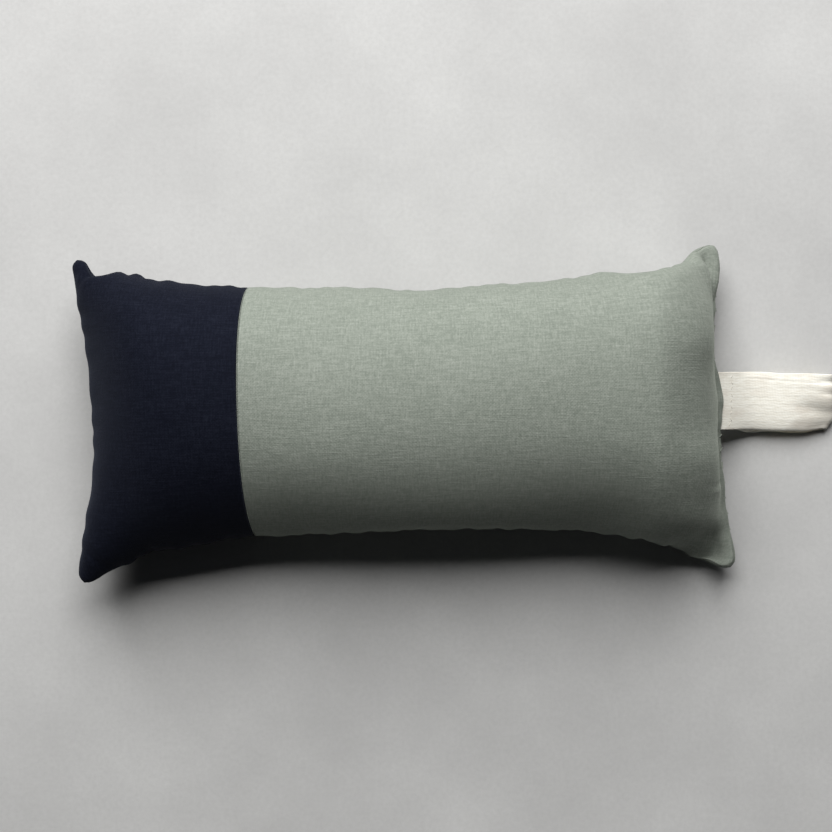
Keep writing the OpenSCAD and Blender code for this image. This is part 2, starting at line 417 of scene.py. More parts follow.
# Folds and hollows of the front near its corners: where, how far they reach along and across, their
# turn in degrees, and how high they stand
FOLDS = (
    ((103.2, 45.5), (1.5, 7.5), 8, 1.10),
    ((107.6, 45.5), (2.2, 8.0), 5, -2.80),
    ((112.5, 46.0), (1.7, 9.0), 3, 0.90),
    ((106.0, -44.5), (7.0, 3.4), -8, -1.50),
    ((95.0, -39.0), (9.0, 5.0), -10, 0.90),
    ((114.5, -48.0), (1.6, 6.0), 12, 0.60),
    ((110.5, -47.5), (1.8, 5.0), 14, -0.60),
    ((-107.5, 50.5), (1.6, 5.5), -38, -0.75),
    ((-104.5, 49.0), (1.7, 5.5), -38, 0.50),
    ((-104.0, -49.0), (1.8, 7.0), 35, -0.45),
    ((112.4, 2.0), (1.7, 10.5), -3, -1.30),
    ((112.8, -20.0), (1.1, 10.0), 2, -0.70),
    ((113.0, 29.0), (1.1, 9.0), 0, -0.90),
    ((104.5, -29.6), (6.5, 0.9), 4, 0.30),
    ((104.5, -27.9), (6.5, 0.8), 2, -0.25),
)


# How deep the puckers are: in the outline of the sides, and in the cloth beside the sides and the ends
SCALLOP = 0.42
SIDE_RIPPLE = 0.26
END_RIPPLE = 0.20


def fine_shape():
    """Puckers that the sewing drew along the edges, and the folds of the corners."""
    flat_x, flat_y = pattern[..., 0], pattern[..., 1]
    n = cloth_normals(drawn)
    from_side = COVER_WIDTH / 2 - np.abs(flat_y)
    from_end = COVER_LENGTH / 2 - np.abs(flat_x)
    phase = np.where(flat_y > 0, 0.0, 2.1)
    wave = np.sin(flat_x * 0.47 + phase + 1.6 * np.sin(flat_x * 0.13 + phase))
    wave = 0.6 * wave + 0.4 * np.sin(flat_x * 0.93 + 2 * phase + 1.2 * np.sin(flat_x * 0.21))
    wave = wave * (0.55 + 0.75 * smooth_step(np.abs(flat_x), 70, 100))
    scallop = SCALLOP * wave * hump(from_side, 0, 3.5) * smooth_step(from_end, 6, 16)
    drawn[..., 1] += np.sign(flat_y) * scallop
    ripple = SIDE_RIPPLE * wave * hump(from_side, 3, 7) * smooth_step(from_end, 2, 12)
    phase = np.where(flat_x > 0, 0.0, 1.9)
    wave = np.sin(flat_y * 0.62 + 1.5 * np.sin(flat_y * 0.17 + 1.0) + phase)
    ripple += END_RIPPLE * wave * hump(from_end, 3, 6) * smooth_step(from_side, 4, 14)
    drawn[...] += n * ripple[None, ..., None]
    for (x, y), (reach_x, reach_y), degrees, height in FOLDS:
        c, d = math.cos(math.radians(degrees)), math.sin(math.radians(degrees))
        a, b = flat_x - x, flat_y - y
        near = hump(c * a + d * b, 0, reach_x) * hump(c * b - d * a, 0, reach_y)
        drawn[0] += n[0] * (near * height)[..., None]


fine_shape()
normals = cloth_normals(drawn)


def nearest_row(places, distance):
    """Number of the place that is nearest to a distance."""
    return int(np.argmin(np.abs(places - distance)))


# Row and column numbers of the edge, once round from the plain end's near corner
I, J = np.arange(N - 1), np.arange(M - 1)
LOOP_I = np.concatenate([I, np.full(M - 1, N - 1), N - 1 - I, np.zeros(M - 1, int)])
LOOP_J = np.concatenate([np.zeros(N - 1, int), J, np.full(N - 1, M - 1), M - 1 - J])


def inward(distance):
    """Grid places a distance in from each place on the edge."""
    i, j = nearest_row(along, distance), nearest_row(across, distance)
    return np.clip(LOOP_I, i, N - 1 - i), np.clip(LOOP_J, j, M - 1 - j)


def soften(values, times):
    """Values round the edge, each evened out with its neighbours."""
    for _ in range(times):
        values = (np.roll(values, 1, 0) + 2 * values + np.roll(values, -1, 0)) / 4
    return values


# At each place on the edge: along the seam, out of the pillow, and from the back to the front
edge_points = drawn[0, LOOP_I, LOOP_J]
seam_way = unit(soften(np.roll(edge_points, -1, 0) - np.roll(edge_points, 1, 0), 3))
inner = inward(4)
to_inside = unit(drawn[0][inner] - edge_points) + unit(drawn[1][inner] - edge_points)
plan_out = unit(np.cross(seam_way, [0, 0, 1]))
seam_out = -to_inside + 0.6 * plan_out
seam_out = unit(soften(seam_out - (seam_out * seam_way).sum(-1, keepdims=True) * seam_way, 4))
seam_up = unit(np.cross(seam_out, seam_way))

# Half the gap between the two folded edges: closed by machine all round but hand-sewn at the loop end
TAPE_HALF_WIDTH = 10.0
TAPE_THICK = 0.5
edge_y = pattern[LOOP_I, LOOP_J][:, 1]
at_loop_end = LOOP_I == N - 1
by_tape = hump(edge_y, LOOP_Y, 11.5, 8) * at_loop_end
loose = hump(edge_y, 0, 48, 8) * at_loop_end
pout = 0.16 * loose * (0.5 + 0.5 * np.sin(edge_y * 0.9 + 1.3 * np.sin(edge_y * 0.31)))
half_gap = soften(0.05 + 0.14 * loose + pout + 0.36 * by_tape, 2)

# How far the back's folded edge stands out past the front's at the loop end
peek = soften((0.9 * hump(edge_y, -12, 9, 4) + 0.5 * hump(edge_y, 22, 12, 4)) * at_loop_end, 4)
# How far inside the edge the cloth is raised along with it
LIFT_REACH = 3.2


def lifted(layer):
    """Centres that a layer's cloth rolls round: the drawn points, raised off the other layer at the seam."""
    lift = (1 - 2 * layer) * seam_up * (CLOTH_HALF + half_gap)[:, None]
    if layer:
        lift = lift + seam_out * peek[:, None]
    rim = np.zeros((N, M, 3))
    rim[LOOP_I, LOOP_J] = lift
    raised = np.zeros((N, M, 3))
    total = np.zeros((N, M, 1))
    for axis, places, size in ((0, along, COVER_LENGTH), (1, across, COVER_WIDTH)):
        for end in (0, -1):
            near = hump(places if end == 0 else size - places, 0, LIFT_REACH)
            near = near[:, None, None] if axis == 0 else near[None, :, None]
            row = rim[end][None] if axis == 0 else rim[:, end][:, None]
            raised += near * row
            total += near
    return drawn[layer] + raised / np.maximum(total, 1)


def chain_of(first, last):
    """Numbers in the edge loop from one to another, going round past the end of the list if need be."""
    count = len(LOOP_I)
    return np.arange(first, last + 1 if last >= first else last + count + 1) % count


def loop_number(i, j):
    """Number in the edge loop of a place on the edge of the grid."""
    return int(np.flatnonzero((LOOP_I == i) & (LOOP_J == j))[0])


def numbered(grid):
    """Point numbers of a grid whose points are kept row by row."""
    return np.arange(grid.shape[0] * grid.shape[1]).reshape(grid.shape[:2])


def grid_faces(number, flip):
    """Quads between the points with these numbers, turned over if flip."""
    a, b, c, d = number[:-1, :-1], number[1:, :-1], number[1:, 1:], number[:-1, 1:]
    return np.stack((a, d, c, b) if flip else (a, b, c, d), -1).reshape(-1, 4)


# The rolled edge: steps round it and the cloth that it takes, and rows of the allowance inside it
ROLL_STEPS = 6
ROLL_CLOTH = 2.0
ALLOWANCE = (2.0, 4.0, 6.5)


def panel(layer, navy):
    """One panel with its seam allowances rolled in: points of both faces, quads and places on the cloth."""
    centres = lifted(layer)
    n = normals[layer]
    columns = np.arange(0, JOIN_COLUMN + 1) if navy else np.arange(JOIN_COLUMN + 1, N)
    first, last = columns[0], columns[-1]
    join_column = last if navy else first
    join_way = 1.0 if navy else -1.0

    # a shallow ditch where the colours meet
    from_join = np.abs(along[columns] - join_from_end)
    ditch = 0.08 * hump(from_join, 0, 0.8) + 0.14 * hump(from_join, 0, 4.0)
    centres[columns] -= n[columns] * ditch[:, None, None]
    outer = [(centres[columns] + n[columns] * CLOTH_HALF).reshape(-1, 3)]
    skin = [(-n[columns] * CLOTH_THICK).reshape(-1, 3)]
    places = [pattern[columns].reshape(-1, 2)]
    count = len(columns) * M
    number = np.full((N, M), -1)
    number[columns] = np.arange(count).reshape(-1, M)
    quads = [grid_faces(number[columns], layer == 1)]

    def roll(start, middle, out, up, n_start, deep, out_flat, flip, radius=CLOTH_HALF):
        """Adds the rolled edge that starts at the grid points numbered start, and the allowance under it."""
        nonlocal count
        angle0 = np.arctan2((n_start * up).sum(-1), (n_start * out).sum(-1))
        angle0 = np.clip(angle0, 0.15, math.pi * 0.75)
        rings = [start]
        flat0 = places[0][start]
        for k in range(1, ROLL_STEPS + 1):
            angle = (angle0 - math.pi * k / ROLL_STEPS)[:, None]
            way = out * np.cos(angle) + up * np.sin(angle)
            outer.append(middle + way * radius)
            skin.append(-way * min(CLOTH_THICK, radius * 0.9))
            places.append(flat0 + out_flat * radius * math.pi * k / ROLL_STEPS)
        for (points, normal), distance in zip(deep, ALLOWANCE):
            outer.append(points - normal * CLOTH_HALF)
            skin.append(normal * CLOTH_THICK)
            places.append(flat0 + out_flat * (ROLL_CLOTH + distance))
        for _ in range(ROLL_STEPS + len(deep)):
            rings.append(np.arange(count, count + len(start)))
            count += len(start)
        quads.append(grid_faces(np.stack(rings), flip))

    # the edge seam
    corners = [loop_number(join_column, M - 1), loop_number(join_column, 0)]
    chain = chain_of(*(corners if navy else corners[::-1]))
    i, j = LOOP_I[chain], LOOP_J[chain]
    deep = []
    for distance in ALLOWANCE:
        a, b = inward(distance)
        a, b = np.clip(a[chain], first, last), b[chain]
        deep.append((centres[a, b], n[a, b]))
    up = (1 - 2 * layer) * seam_up[chain]
    out_flat = np.cross(seam_way[chain], [0, 0, 1])[:, :2]
    roll(number[i, j], centres[i, j], seam_out[chain], up, n[i, j], deep, out_flat, layer == 0)

    # the seam between the colours
    up = n[join_column]
    beside = unit(np.gradient(drawn[layer][join_column], axis=0))
    out = unit(np.cross(beside, up)) * (1 - 2 * layer) * join_way
    deep = []
    for distance in ALLOWANCE:
        row = columns[nearest_row(np.abs(along[columns] - along[join_column]), distance)]
        deep.append((centres[row], n[row]))
    middle = centres[join_column] + up * (CLOTH_HALF - JOIN_ROLL)
    out_flat = np.tile([join_way, 0.0], (M, 1))
    roll(number[join_column], middle, out, up, up, deep, out_flat, (layer == 0) == navy, JOIN_ROLL)

    outer, skin = np.concatenate(outer), np.concatenate(skin)
    return outer, outer + skin, np.concatenate(quads), np.concatenate(places)


# ------ meshes
def make_mesh(name, points, faces, places=None):
    """An object from its points and their places on the cut cloth, in millimetres."""
    mesh = bpy.data.meshes.new(name)
    mesh.from_pydata((np.asarray(points) * MM).tolist(), [], [list(map(int, f)) for f in faces])
    if places is not None:
        corners = np.empty(len(mesh.loops), np.int32)
        mesh.loops.foreach_get("vertex_index", corners)
        layer = mesh.uv_layers.new(name="cloth")
        layer.data.foreach_set("uv", np.asarray(places, np.float32)[corners].ravel())
    mesh.validate()
    mesh.shade_smooth()
    return link(bpy.data.objects.new(name, mesh))


def thick_sheet(name, outer, inner, quads, places):
    """A closed sheet of cloth from its outer and inner points, with its raw edges closed."""
    outer, inner, places = outer.reshape(-1, 3), inner.reshape(-1, 3), places.reshape(-1, 2)
    count = len(outer)
    edges = np.concatenate([quads[:, [k, (k + 1) % 4]] for k in range(4)])
    keys = np.sort(edges, 1)
    _, index, times = np.unique(keys, axis=0, return_index=True, return_counts=True)
    start, end = edges[index[times == 1]].T
    rim = np.stack([end, start, start + count, end + count], -1)
    faces = np.concatenate([quads, quads[:, ::-1] + count, rim])
    return make_mesh(name, np.concatenate([outer, inner]), faces, np.concatenate([places, places]))


TUBE_SIDES = 8
STITCH_TAPER = np.array([0.45, 0.9, 1.0, 0.9, 0.45])


def tube(path, radii):
    """Points and faces of a thread with these radii along its path, with closed ends."""
    path = np.asarray(path, float)
    way = unit(np.gradient(path, axis=0))
    across_way = unit(np.cross(way, [0.13, 0.21, 0.97]))
    above = np.cross(across_way, way)
    turn = np.linspace(0, 2 * math.pi, TUBE_SIDES, endpoint=False)[None, :, None]
    ring = np.cos(turn) * across_way[:, None] + np.sin(turn) * above[:, None]
    points = (path[:, None] + ring * radii[:, None, None]).reshape(-1, 3)
    number = np.arange(len(path) * TUBE_SIDES).reshape(-1, TUBE_SIDES)
    after = np.roll(number, -1, 1)
    faces = np.stack([number[:-1], after[:-1], after[1:], number[1:]], -1).reshape(-1, 4)
    return points, [list(q) for q in faces] + [list(number[0][::-1]), list(number[-1])]


def stitches(name, runs, radius):
    """One object of many short stitches, each a list of points that it follows."""
    points, faces, count = [], [], 0
    for run in runs:
        t = np.linspace(0, len(run) - 1, len(STITCH_TAPER))
        path = np.stack([np.interp(t, np.arange(len(run)), np.asarray(run)[:, k]) for k in range(3)], -1)
        stitch_points, stitch_faces = tube(path, radius * STITCH_TAPER)
        points.append(stitch_points)
        faces += [[v + count for v in face] for face in stitch_faces]
        count += len(stitch_points)
    return make_mesh(name, np.concatenate(points), faces)


# ------ materials
class Nodes:
    """A material's node tree, built one node at a time."""

    def __init__(self, name):
        self.material = bpy.data.materials.new(name)
        self.material.use_nodes = True
        self.tree = self.material.node_tree
        self.tree.nodes.clear()
        self.shader = self.tree.nodes.new("ShaderNodeBsdfPrincipled")
        output = self.tree.nodes.new("ShaderNodeOutputMaterial")
        self.tree.links.new(self.shader.outputs["BSDF"], output.inputs["Surface"])

    def fill(self, node, inputs):
        """Sets each input to a constant, or links it to another node's output."""
        for key, value in inputs.items():
            if isinstance(value, bpy.types.NodeSocket):
                self.tree.links.new(value, node.inputs[key])
            else:
                node.inputs[key].default_value = value
        return node

    def node(self, kind, inputs, **settings):
        made = self.tree.nodes.new(kind)
        for key, value in settings.items():
            setattr(made, key, value)
        return self.fill(made, inputs)

    def math(self, operation, a, b=0.0, c=0.0):
        return self.node("ShaderNodeMath", {0: a, 1: b, 2: c}, operation=operation).outputs[0]

    def add(self, a, b):
        return self.math("ADD", a, b)

    def times(self, a, b):
        return self.math("MULTIPLY", a, b)

    def ridges(self, place, pitch):
        """A sine wave with this pitch in millimetres."""
        return self.math("SINE", self.times(place, 2 * math.pi / pitch))

    def mix(self, share, a, b):
        """The colour a, with this share of b."""
        inputs = {"Factor": share, "A": a, "B": b}
        return self.node("ShaderNodeMix", inputs, data_type="RGBA").outputs["Result"]

    def cloth_place(self):
        """The position on the cut cloth in millimetres: along it and across it."""
        place = self.node("ShaderNodeUVMap", {}, uv_map="cloth").outputs[0]
        return self.node("ShaderNodeSeparateXYZ", {"Vector": place}).outputs[:2]

    def uv(self, x_scale, y_scale, shift=0.0):
        """The position on the cut cloth, scaled and moved for one noise."""
        place = self.node("ShaderNodeUVMap", {}, uv_map="cloth").outputs[0]
        moved = (shift, shift * 0.7, shift * 1.3)
        inputs = {"Vector": place, "Scale": (x_scale, y_scale, 1), "Location": moved}
        return self.node("ShaderNodeMapping", inputs).outputs[0]

    def noise(self, vector, scale, detail=2.0, rough=0.5):
        inputs = {"Vector": vector, "Scale": scale, "Detail": detail, "Roughness": rough}
        return self.node("ShaderNodeTexNoise", inputs).outputs[0]

    def object_place(self):
        return self.node("ShaderNodeTexCoord", {}).outputs["Object"]

    def ramp(self, value, low, high, to_low=0.0, to_high=1.0):
        """A straight rise from to_low, where the value is low, to to_high, where it is high."""
        inputs = {"Value": value, "From Min": low, "From Max": high, "To Min": to_low, "To Max": to_high}
        return self.node("ShaderNodeMapRange", inputs, clamp=True).outputs[0]

    def bump(self, height, strength, distance):
        inputs = {"Height": height, "Strength": strength, "Distance": distance}
        return self.node("ShaderNodeBump", inputs).outputs[0]

    def finish(self, colour, normal, roughness, sheen=0.0, tint=(1, 1, 1, 1), specular=0.25):
        """Links the shader and gives the finished material."""
        self.fill(self.shader, {"Base Color": colour, "Normal": normal, "Roughness": roughness})
        self.fill(self.shader, {"Sheen Weight": sheen, "Sheen Roughness": 0.45, "Sheen Tint": tint})
        self.fill(self.shader, {"Specular IOR Level": specular})
        return self.material


# Pitches in millimetres: of the linen's threads, and of the tape's ribs, cross threads and zigzag
LINEN_PITCH = 1.05
RIB_PITCH = 0.95
CROSS_PITCH = 0.55
ZIGZAG_PITCH = 1.6


def linen(name, dark, middle, light, pale_flecks, sheen, sheen_tint, specular):
    """Plain-woven linen: uneven threads both ways, slubs, a fine over-and-under relief and cloudy dye."""
    m = Nodes(name)
    warp = m.noise(m.uv(1.9, 0.24), 1.0, 3.0, 0.6)
    weft = m.noise(m.uv(0.20, 1.9, 11), 1.0, 3.0, 0.6)
    slub = m.noise(m.uv(0.16, 2.3, 23), 1.0, 1.0)
    grain = m.noise(m.uv(1.6, 1.6, 5), 1.0, 3.0, 0.7)
    cloud = m.noise(m.uv(0.055, 0.075, 31), 1.0, 2.0)
    threads = m.add(m.times(warp, 0.45), m.times(weft, 0.45))
    threads = m.add(m.add(threads, 0.05), m.times(m.math("SUBTRACT", grain, 0.5), 0.6))
    tone = m.add(threads, m.times(m.math("SUBTRACT", cloud, 0.5), 0.10))
    colour = m.mix(m.ramp(tone, 0.28, 0.52), dark, middle)
    colour = m.mix(m.ramp(tone, 0.50, 0.74), colour, light)
    colour = m.mix(m.ramp(slub, 0.66, 0.78, 0.0, pale_flecks), colour, light)
    along_cloth, across_cloth = m.cloth_place()
    weave = m.times(m.ridges(along_cloth, LINEN_PITCH), m.ridges(across_cloth, LINEN_PITCH))
    relief = m.add(m.times(weave, 0.10), m.times(threads, 1.25))
    relief = m.add(relief, m.times(m.ramp(slub, 0.6, 0.8), 0.3))
    normal = m.bump(relief, 0.55, 0.00022)
    rough = m.ramp(grain, 0.3, 0.7, 0.80, 0.94)
    return m.finish(colour, normal, rough, sheen, sheen_tint, specular)


def twill_tape(name, fold_place):
    """Cotton tape: ribs along its length that zigzag slightly, and a warm painted shade near the fold, where
    the tape tilts away from the light.
    """
    m = Nodes(name)
    along_tape, across_tape = m.cloth_place()
    sway = m.noise(m.uv(0.12, 0.5, 3), 1.0, 2.0)
    zigzag = m.math("PINGPONG", along_tape, ZIGZAG_PITCH)
    rib_place = m.add(across_tape, m.add(m.times(zigzag, 0.22), m.times(sway, 0.8)))
    ribs = m.ridges(rib_place, RIB_PITCH)
    yarn = m.noise(m.uv(0.35, 2.6, 7), 1.0, 3.0, 0.6)
    cross = m.ridges(along_tape, CROSS_PITCH)
    grime = m.noise(m.uv(0.10, 0.22, 19), 1.0, 2.0)
    tone = m.add(m.times(ribs, 0.05), m.add(m.times(yarn, 0.9), m.times(cross, 0.04)))
    colour = m.mix(m.ramp(tone, 0.25, 0.65), (0.77, 0.735, 0.645, 1), (0.95, 0.935, 0.865, 1))
    colour = m.mix(m.ramp(grime, 0.52, 0.72, 0.0, 0.35), colour, (0.60, 0.52, 0.44, 1))
    # painted shade near the fold, on the near half of the tape, where it tilts away from the light
    from_fold = m.math("ABSOLUTE", m.math("SUBTRACT", along_tape, fold_place))
    painted_fold_shade = m.times(m.ramp(from_fold, 6.0, 17.0, 1.0, 0.0), m.ramp(across_tape, 2.0, 7.5, 1.0, 0.0))
    painted_fold_shade = m.times(painted_fold_shade, m.ramp(sway, 0.3, 0.7, 0.22, 0.42))
    colour = m.mix(painted_fold_shade, colour, (0.56, 0.50, 0.42, 1))
    relief = m.add(m.times(ribs, 0.16), m.add(m.times(yarn, 0.7), m.times(cross, 0.2)))
    normal = m.bump(relief, 0.35, 0.00012)
    return m.finish(colour, normal, m.ramp(yarn, 0.3, 0.7, 0.75, 0.9), 0.15, (1, 0.97, 0.9, 1), 0.25)


def thread_material(name, dark, light):
    """Twisted sewing thread with a slight shine."""
    m = Nodes(name)
    place = m.object_place()
    inputs = {"Vector": place, "Scale": 900.0, "Distortion": 1.5}
    twist = m.node("ShaderNodeTexWave", inputs, bands_direction="DIAGONAL").outputs[1]
    fuzz = m.noise(place, 2500.0, 2.0)
    colour = m.mix(m.times(twist, fuzz), dark, light)
    normal = m.bump(twist, 0.4, 0.0001)
    return m.finish(colour, normal, m.ramp(fuzz, 0.3, 0.7, 0.5, 0.7), 0.05, light, 0.4)


def seed_material(name):
    """Flaxseed: small glossy brown seeds packed together."""
    m = Nodes(name)
    place = m.object_place()
    cells = m.node("ShaderNodeTexVoronoi", {"Vector": place, "Scale": 330.0, "Randomness": 0.9})
    shade = m.noise(cells.outputs["Color"], 3.0, 1.0)
    colour = m.mix(m.ramp(shade, 0.35, 0.65), (0.17, 0.065, 0.022, 1), (0.36, 0.17, 0.065, 1))
    # the gaps between the seeds are painted near black: painted shade where the seeds meet
    colour = m.mix(m.ramp(cells.outputs["Distance"], 0.35, 0.75), colour, (0.03, 0.012, 0.006, 1))
    normal = m.bump(m.math("SUBTRACT", 1.0, cells.outputs["Distance"]), 0.9, 0.0012)
    return m.finish(colour, normal, m.ramp(shade, 0.3, 0.7, 0.25, 0.4), specular=0.5)


def floor_material():
    """A plain pale floor with a hint of cloudiness."""
    m = Nodes("floor")
    place = m.object_place()
    cloud = m.noise(place, 13.0, 6.0, 0.62)
    fine_grain = m.noise(place, 620.0, 3.0, 0.7)
    colour = m.mix(m.ramp(cloud, 0.32, 0.68), (0.432, 0.430, 0.426, 1), (0.512, 0.511, 0.505, 1))
    colour = m.mix(m.ramp(fine_grain, 0.35, 0.70, 0.0, 0.22), colour, (0.330, 0.327, 0.322, 1))
    normal = m.bump(fine_grain, 0.1, 0.0002)
    return m.finish(colour, normal, m.ramp(fine_grain, 0.3, 0.7, 0.7, 0.8), specular=0.2)


sage = linen(
    "sage_linen", (0.148, 0.168, 0.143, 1), (0.206, 0.227, 0.196, 1), (0.272, 0.292, 0.259, 1),
    pale_flecks=0.4, sheen=0.30, sheen_tint=(0.62, 0.67, 0.59, 1), specular=0.16
)
navy = linen(
    "navy_linen", (0.0032, 0.0039, 0.0079, 1), (0.0055, 0.0067, 0.0128, 1), (0.0104, 0.0122, 0.0205, 1),
    pale_flecks=0.3, sheen=0.13, sheen_tint=(0.22, 0.25, 0.34, 1), specular=0.05
)
muslin = linen(
    "muslin", (0.60, 0.55, 0.44, 1), (0.72, 0.68, 0.57, 1), (0.80, 0.77, 0.68, 1),
    pale_flecks=0.3, sheen=0.05, sheen_tint=(1, 0.98, 0.92, 1), specular=0.2
)
dark_thread = thread_material("dark_thread", (0.008, 0.009, 0.014, 1), (0.022, 0.024, 0.036, 1))
sage_thread = thread_material("sage_thread", (0.17, 0.19, 0.16, 1), (0.33, 0.36, 0.31, 1))
natural_thread = thread_material("natural_thread", (0.62, 0.58, 0.50, 1), (0.84, 0.82, 0.75, 1))
seed = seed_material("flaxseed")


def add_piece(obj, material, nodes, body="pillow"):
    obj.data.materials.append(material)
    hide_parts(*nodes)
    if body:
        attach(obj, body)
    return obj


# ------ cover
for name, layer, is_navy in (
    ("front_navy", 0, True), ("front_sage", 0, False), ("back_navy", 1, True), ("back_sage", 1, False)
):
    piece = thick_sheet(name, *panel(layer, is_navy))
    add_piece(piece, navy if is_navy else sage, [name + "_panel"])


# ------ threads
# Lengths of the machine stitches, radii of the threads, and how far the seams' threads are set off
EDGE_PITCH = 2.6
JOIN_PITCH = 2.4
MACHINE_THREAD = 0.2
SLIP_THREAD = 0.24
BAG_THREAD = 0.18
TACK_THREAD = 0.13
EDGE_THREAD_OUT = 0.18
JOIN_THREAD_DEEP = 0.25
# The slip stitches: from where to where, how far apart, their slant and how far they stand out
SLIP_FROM, SLIP_TO, SLIP_EVERY = -44.0, 45.0, 5.4
SLIP_SLANT = 1.3
SLIP_OUT = CLOTH_HALF + 0.12


def lengths(path):
    """How far along a path each of its points is."""
    return np.concatenate([[0], np.cumsum(np.linalg.norm(np.diff(path, axis=0), axis=1))])


def evenly(path, count):
    """So many points at even steps along a path."""
    length = lengths(path)
    at = np.linspace(0, length[-1], count)
    return np.stack([np.interp(at, length, path[:, k]) for k in range(path.shape[1])], -1)


def lockstitches(path, pitch):
    """Short runs of thread along a seam, with a small gap at each needle hole."""
    at = evenly(path, int(round(lengths(path)[-1] / (pitch / 4))) + 1)
    return [at[k : k + 4] for k in range(0, len(at) - 4, 4)]


loop_end_corners = (loop_number(N - 1, 0), loop_number(N - 1, M - 1))
machine_chain = chain_of(*loop_end_corners[::-1])
edge_line = edge_points[machine_chain] + seam_out[machine_chain] * EDGE_THREAD_OUT
edge_thread = stitches("edge_thread", lockstitches(edge_line, EDGE_PITCH), MACHINE_THREAD)
add_piece(edge_thread, dark_thread, ["edge_seam_thread"])

for layer, word in ((0, "front"), (1, "back")):
    line = (drawn[layer][JOIN_COLUMN] + drawn[layer][JOIN_COLUMN + 1]) / 2
    line = (line - normals[layer][JOIN_COLUMN] * JOIN_THREAD_DEEP)[2:-2]
    join_thread = stitches(word + "_join_stitches", lockstitches(line, JOIN_PITCH), MACHINE_THREAD)
    add_piece(join_thread, dark_thread, [word + "_join_thread"])

# slip stitches at the loop end: each crosses the gap from the front's fold to the back's
end_chain = chain_of(*loop_end_corners)
end_y = edge_points[end_chain][:, 1]
slips = []
for y in np.arange(SLIP_FROM, SLIP_TO, SLIP_EVERY):
    if abs(y - LOOP_Y) < TAPE_HALF_WIDTH + 1.5:
        continue
    a = end_chain[int(np.argmin(np.abs(end_y - y)))]
    b = end_chain[min(int(np.argmin(np.abs(end_y - y - SLIP_SLANT))), len(end_chain) - 1)]
    upper = edge_points[a] + seam_up[a] * (half_gap[a] + CLOTH_HALF * 0.9) + seam_out[a] * SLIP_OUT
    lower = edge_points[b] - seam_up[b] * (half_gap[b] + CLOTH_HALF * 0.9)
    lower = lower + seam_out[b] * (SLIP_OUT + peek[b])
    middle = (upper + lower) / 2 - seam_out[a] * 0.12
    slips.append([upper - seam_out[a] * 0.35, upper, middle, lower, lower - seam_out[b] * 0.35])
slip = stitches("slip_stitches", slips, SLIP_THREAD)
add_piece(slip, sage_thread, ["closing_stitches"])


# ------ inner bag and filling
# How far the bag and the filling stay inside the cover: from its ends, from its sides, under its cloth
BAG_INSETS = (13, 5, 1.3)
FILLING_INSETS = (15, 7, 2.3)
# Both are drawn together within this distance of their own edge
EDGE_ROUNDING = 9
MUSLIN_THICK = 0.4
BAG_EDGE_GAP = 0.03


def inner_layer(layer, inset_end, inset_side, deep):
    """Points of a layer inside the cover, drawn together at its own edge."""
    a = np.linspace(inset_end, COVER_LENGTH - inset_end, 72)
    b = np.linspace(inset_side, COVER_WIDTH - inset_side, 36)
    P = sampled(cover, a, b)
    n = cloth_normals(P)
    both = P - n * deep
    mid = both.mean(0)
    near = np.minimum(np.minimum(a - a[0], a[-1] - a)[:, None], np.minimum(b - b[0], b[-1] - b)[None])
    share = np.sqrt(1 - (1 - np.clip(near / EDGE_ROUNDING, 0, 1)) ** 2)[..., None]
    return mid + (both[layer] - mid) * share, n[layer], np.stack(np.meshgrid(a, b, indexing="ij"), -1)


for layer, word in ((0, "front"), (1, "back")):
    P, n, flat = inner_layer(layer, *BAG_INSETS)
    P = P + np.array([0, 0, BAG_EDGE_GAP]) * (1 - 2 * layer)
    piece = thick_sheet(
        "inner_bag_" + word + "_muslin", P, P - n * MUSLIN_THICK, grid_faces(numbered(P), layer == 1), flat
    )
    add_piece(piece, muslin, ["inner_bag_" + word])

P = inner_layer(0, *BAG_INSETS)[0]
rim = np.concatenate([P[:-1, 0], P[-1, :-1], P[:0:-1, -1], P[0, :0:-1]])
bag_thread = stitches("inner_bag_stitches", lockstitches(rim, EDGE_PITCH), BAG_THREAD)
add_piece(bag_thread, natural_thread, ["inner_bag_thread"])

# the filling's two layers share the points of its edge
front_fill, back_fill = (inner_layer(layer, *FILLING_INSETS)[0] for layer in (0, 1))
number = numbered(front_fill)
below = number + number.size
below[[0, -1]] = number[[0, -1]]
below[:, [0, -1]] = number[:, [0, -1]]
filling = make_mesh(
    "filling",
    np.concatenate([front_fill.reshape(-1, 3), back_fill.reshape(-1, 3)]),
    np.concatenate([grid_faces(number, False), grid_faces(below, True)]),
)
add_piece(filling, seed, ["seed_filling"])


# ------ hanging loop
tape_high = np.array(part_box("hanging_loop")[1]) / MM
exit_point = edge_points[end_chain[int(np.argmin(np.abs(end_y - LOOP_Y)))]]
# Outside the seam the two layers lie together for the first length, and inside it for the second
SEWN_LENGTH = 5.2
TAIL_LENGTH = 9.0
TAPE_GAP = 0.06
TAPE_LIE = TAPE_THICK / 2 + TAPE_GAP
# The fold's radius at the near edge, how much wider it opens at the far one, and how it is pinched
FOLD_RADIUS = 2.3
FOLD_OPENS = 2.2
FOLD_PINCHED = 0.42
# The fold runs askew, so the near side of the loop is shorter by this
FOLD_ASKEW = 3.0
TAIL_STEPS = 19
PROFILE_STEPS = 60
FOLD_STEPS = 19
TAPE_STEP = 0.5
w = np.linspace(-TAPE_HALF_WIDTH, TAPE_HALF_WIDTH, 61)


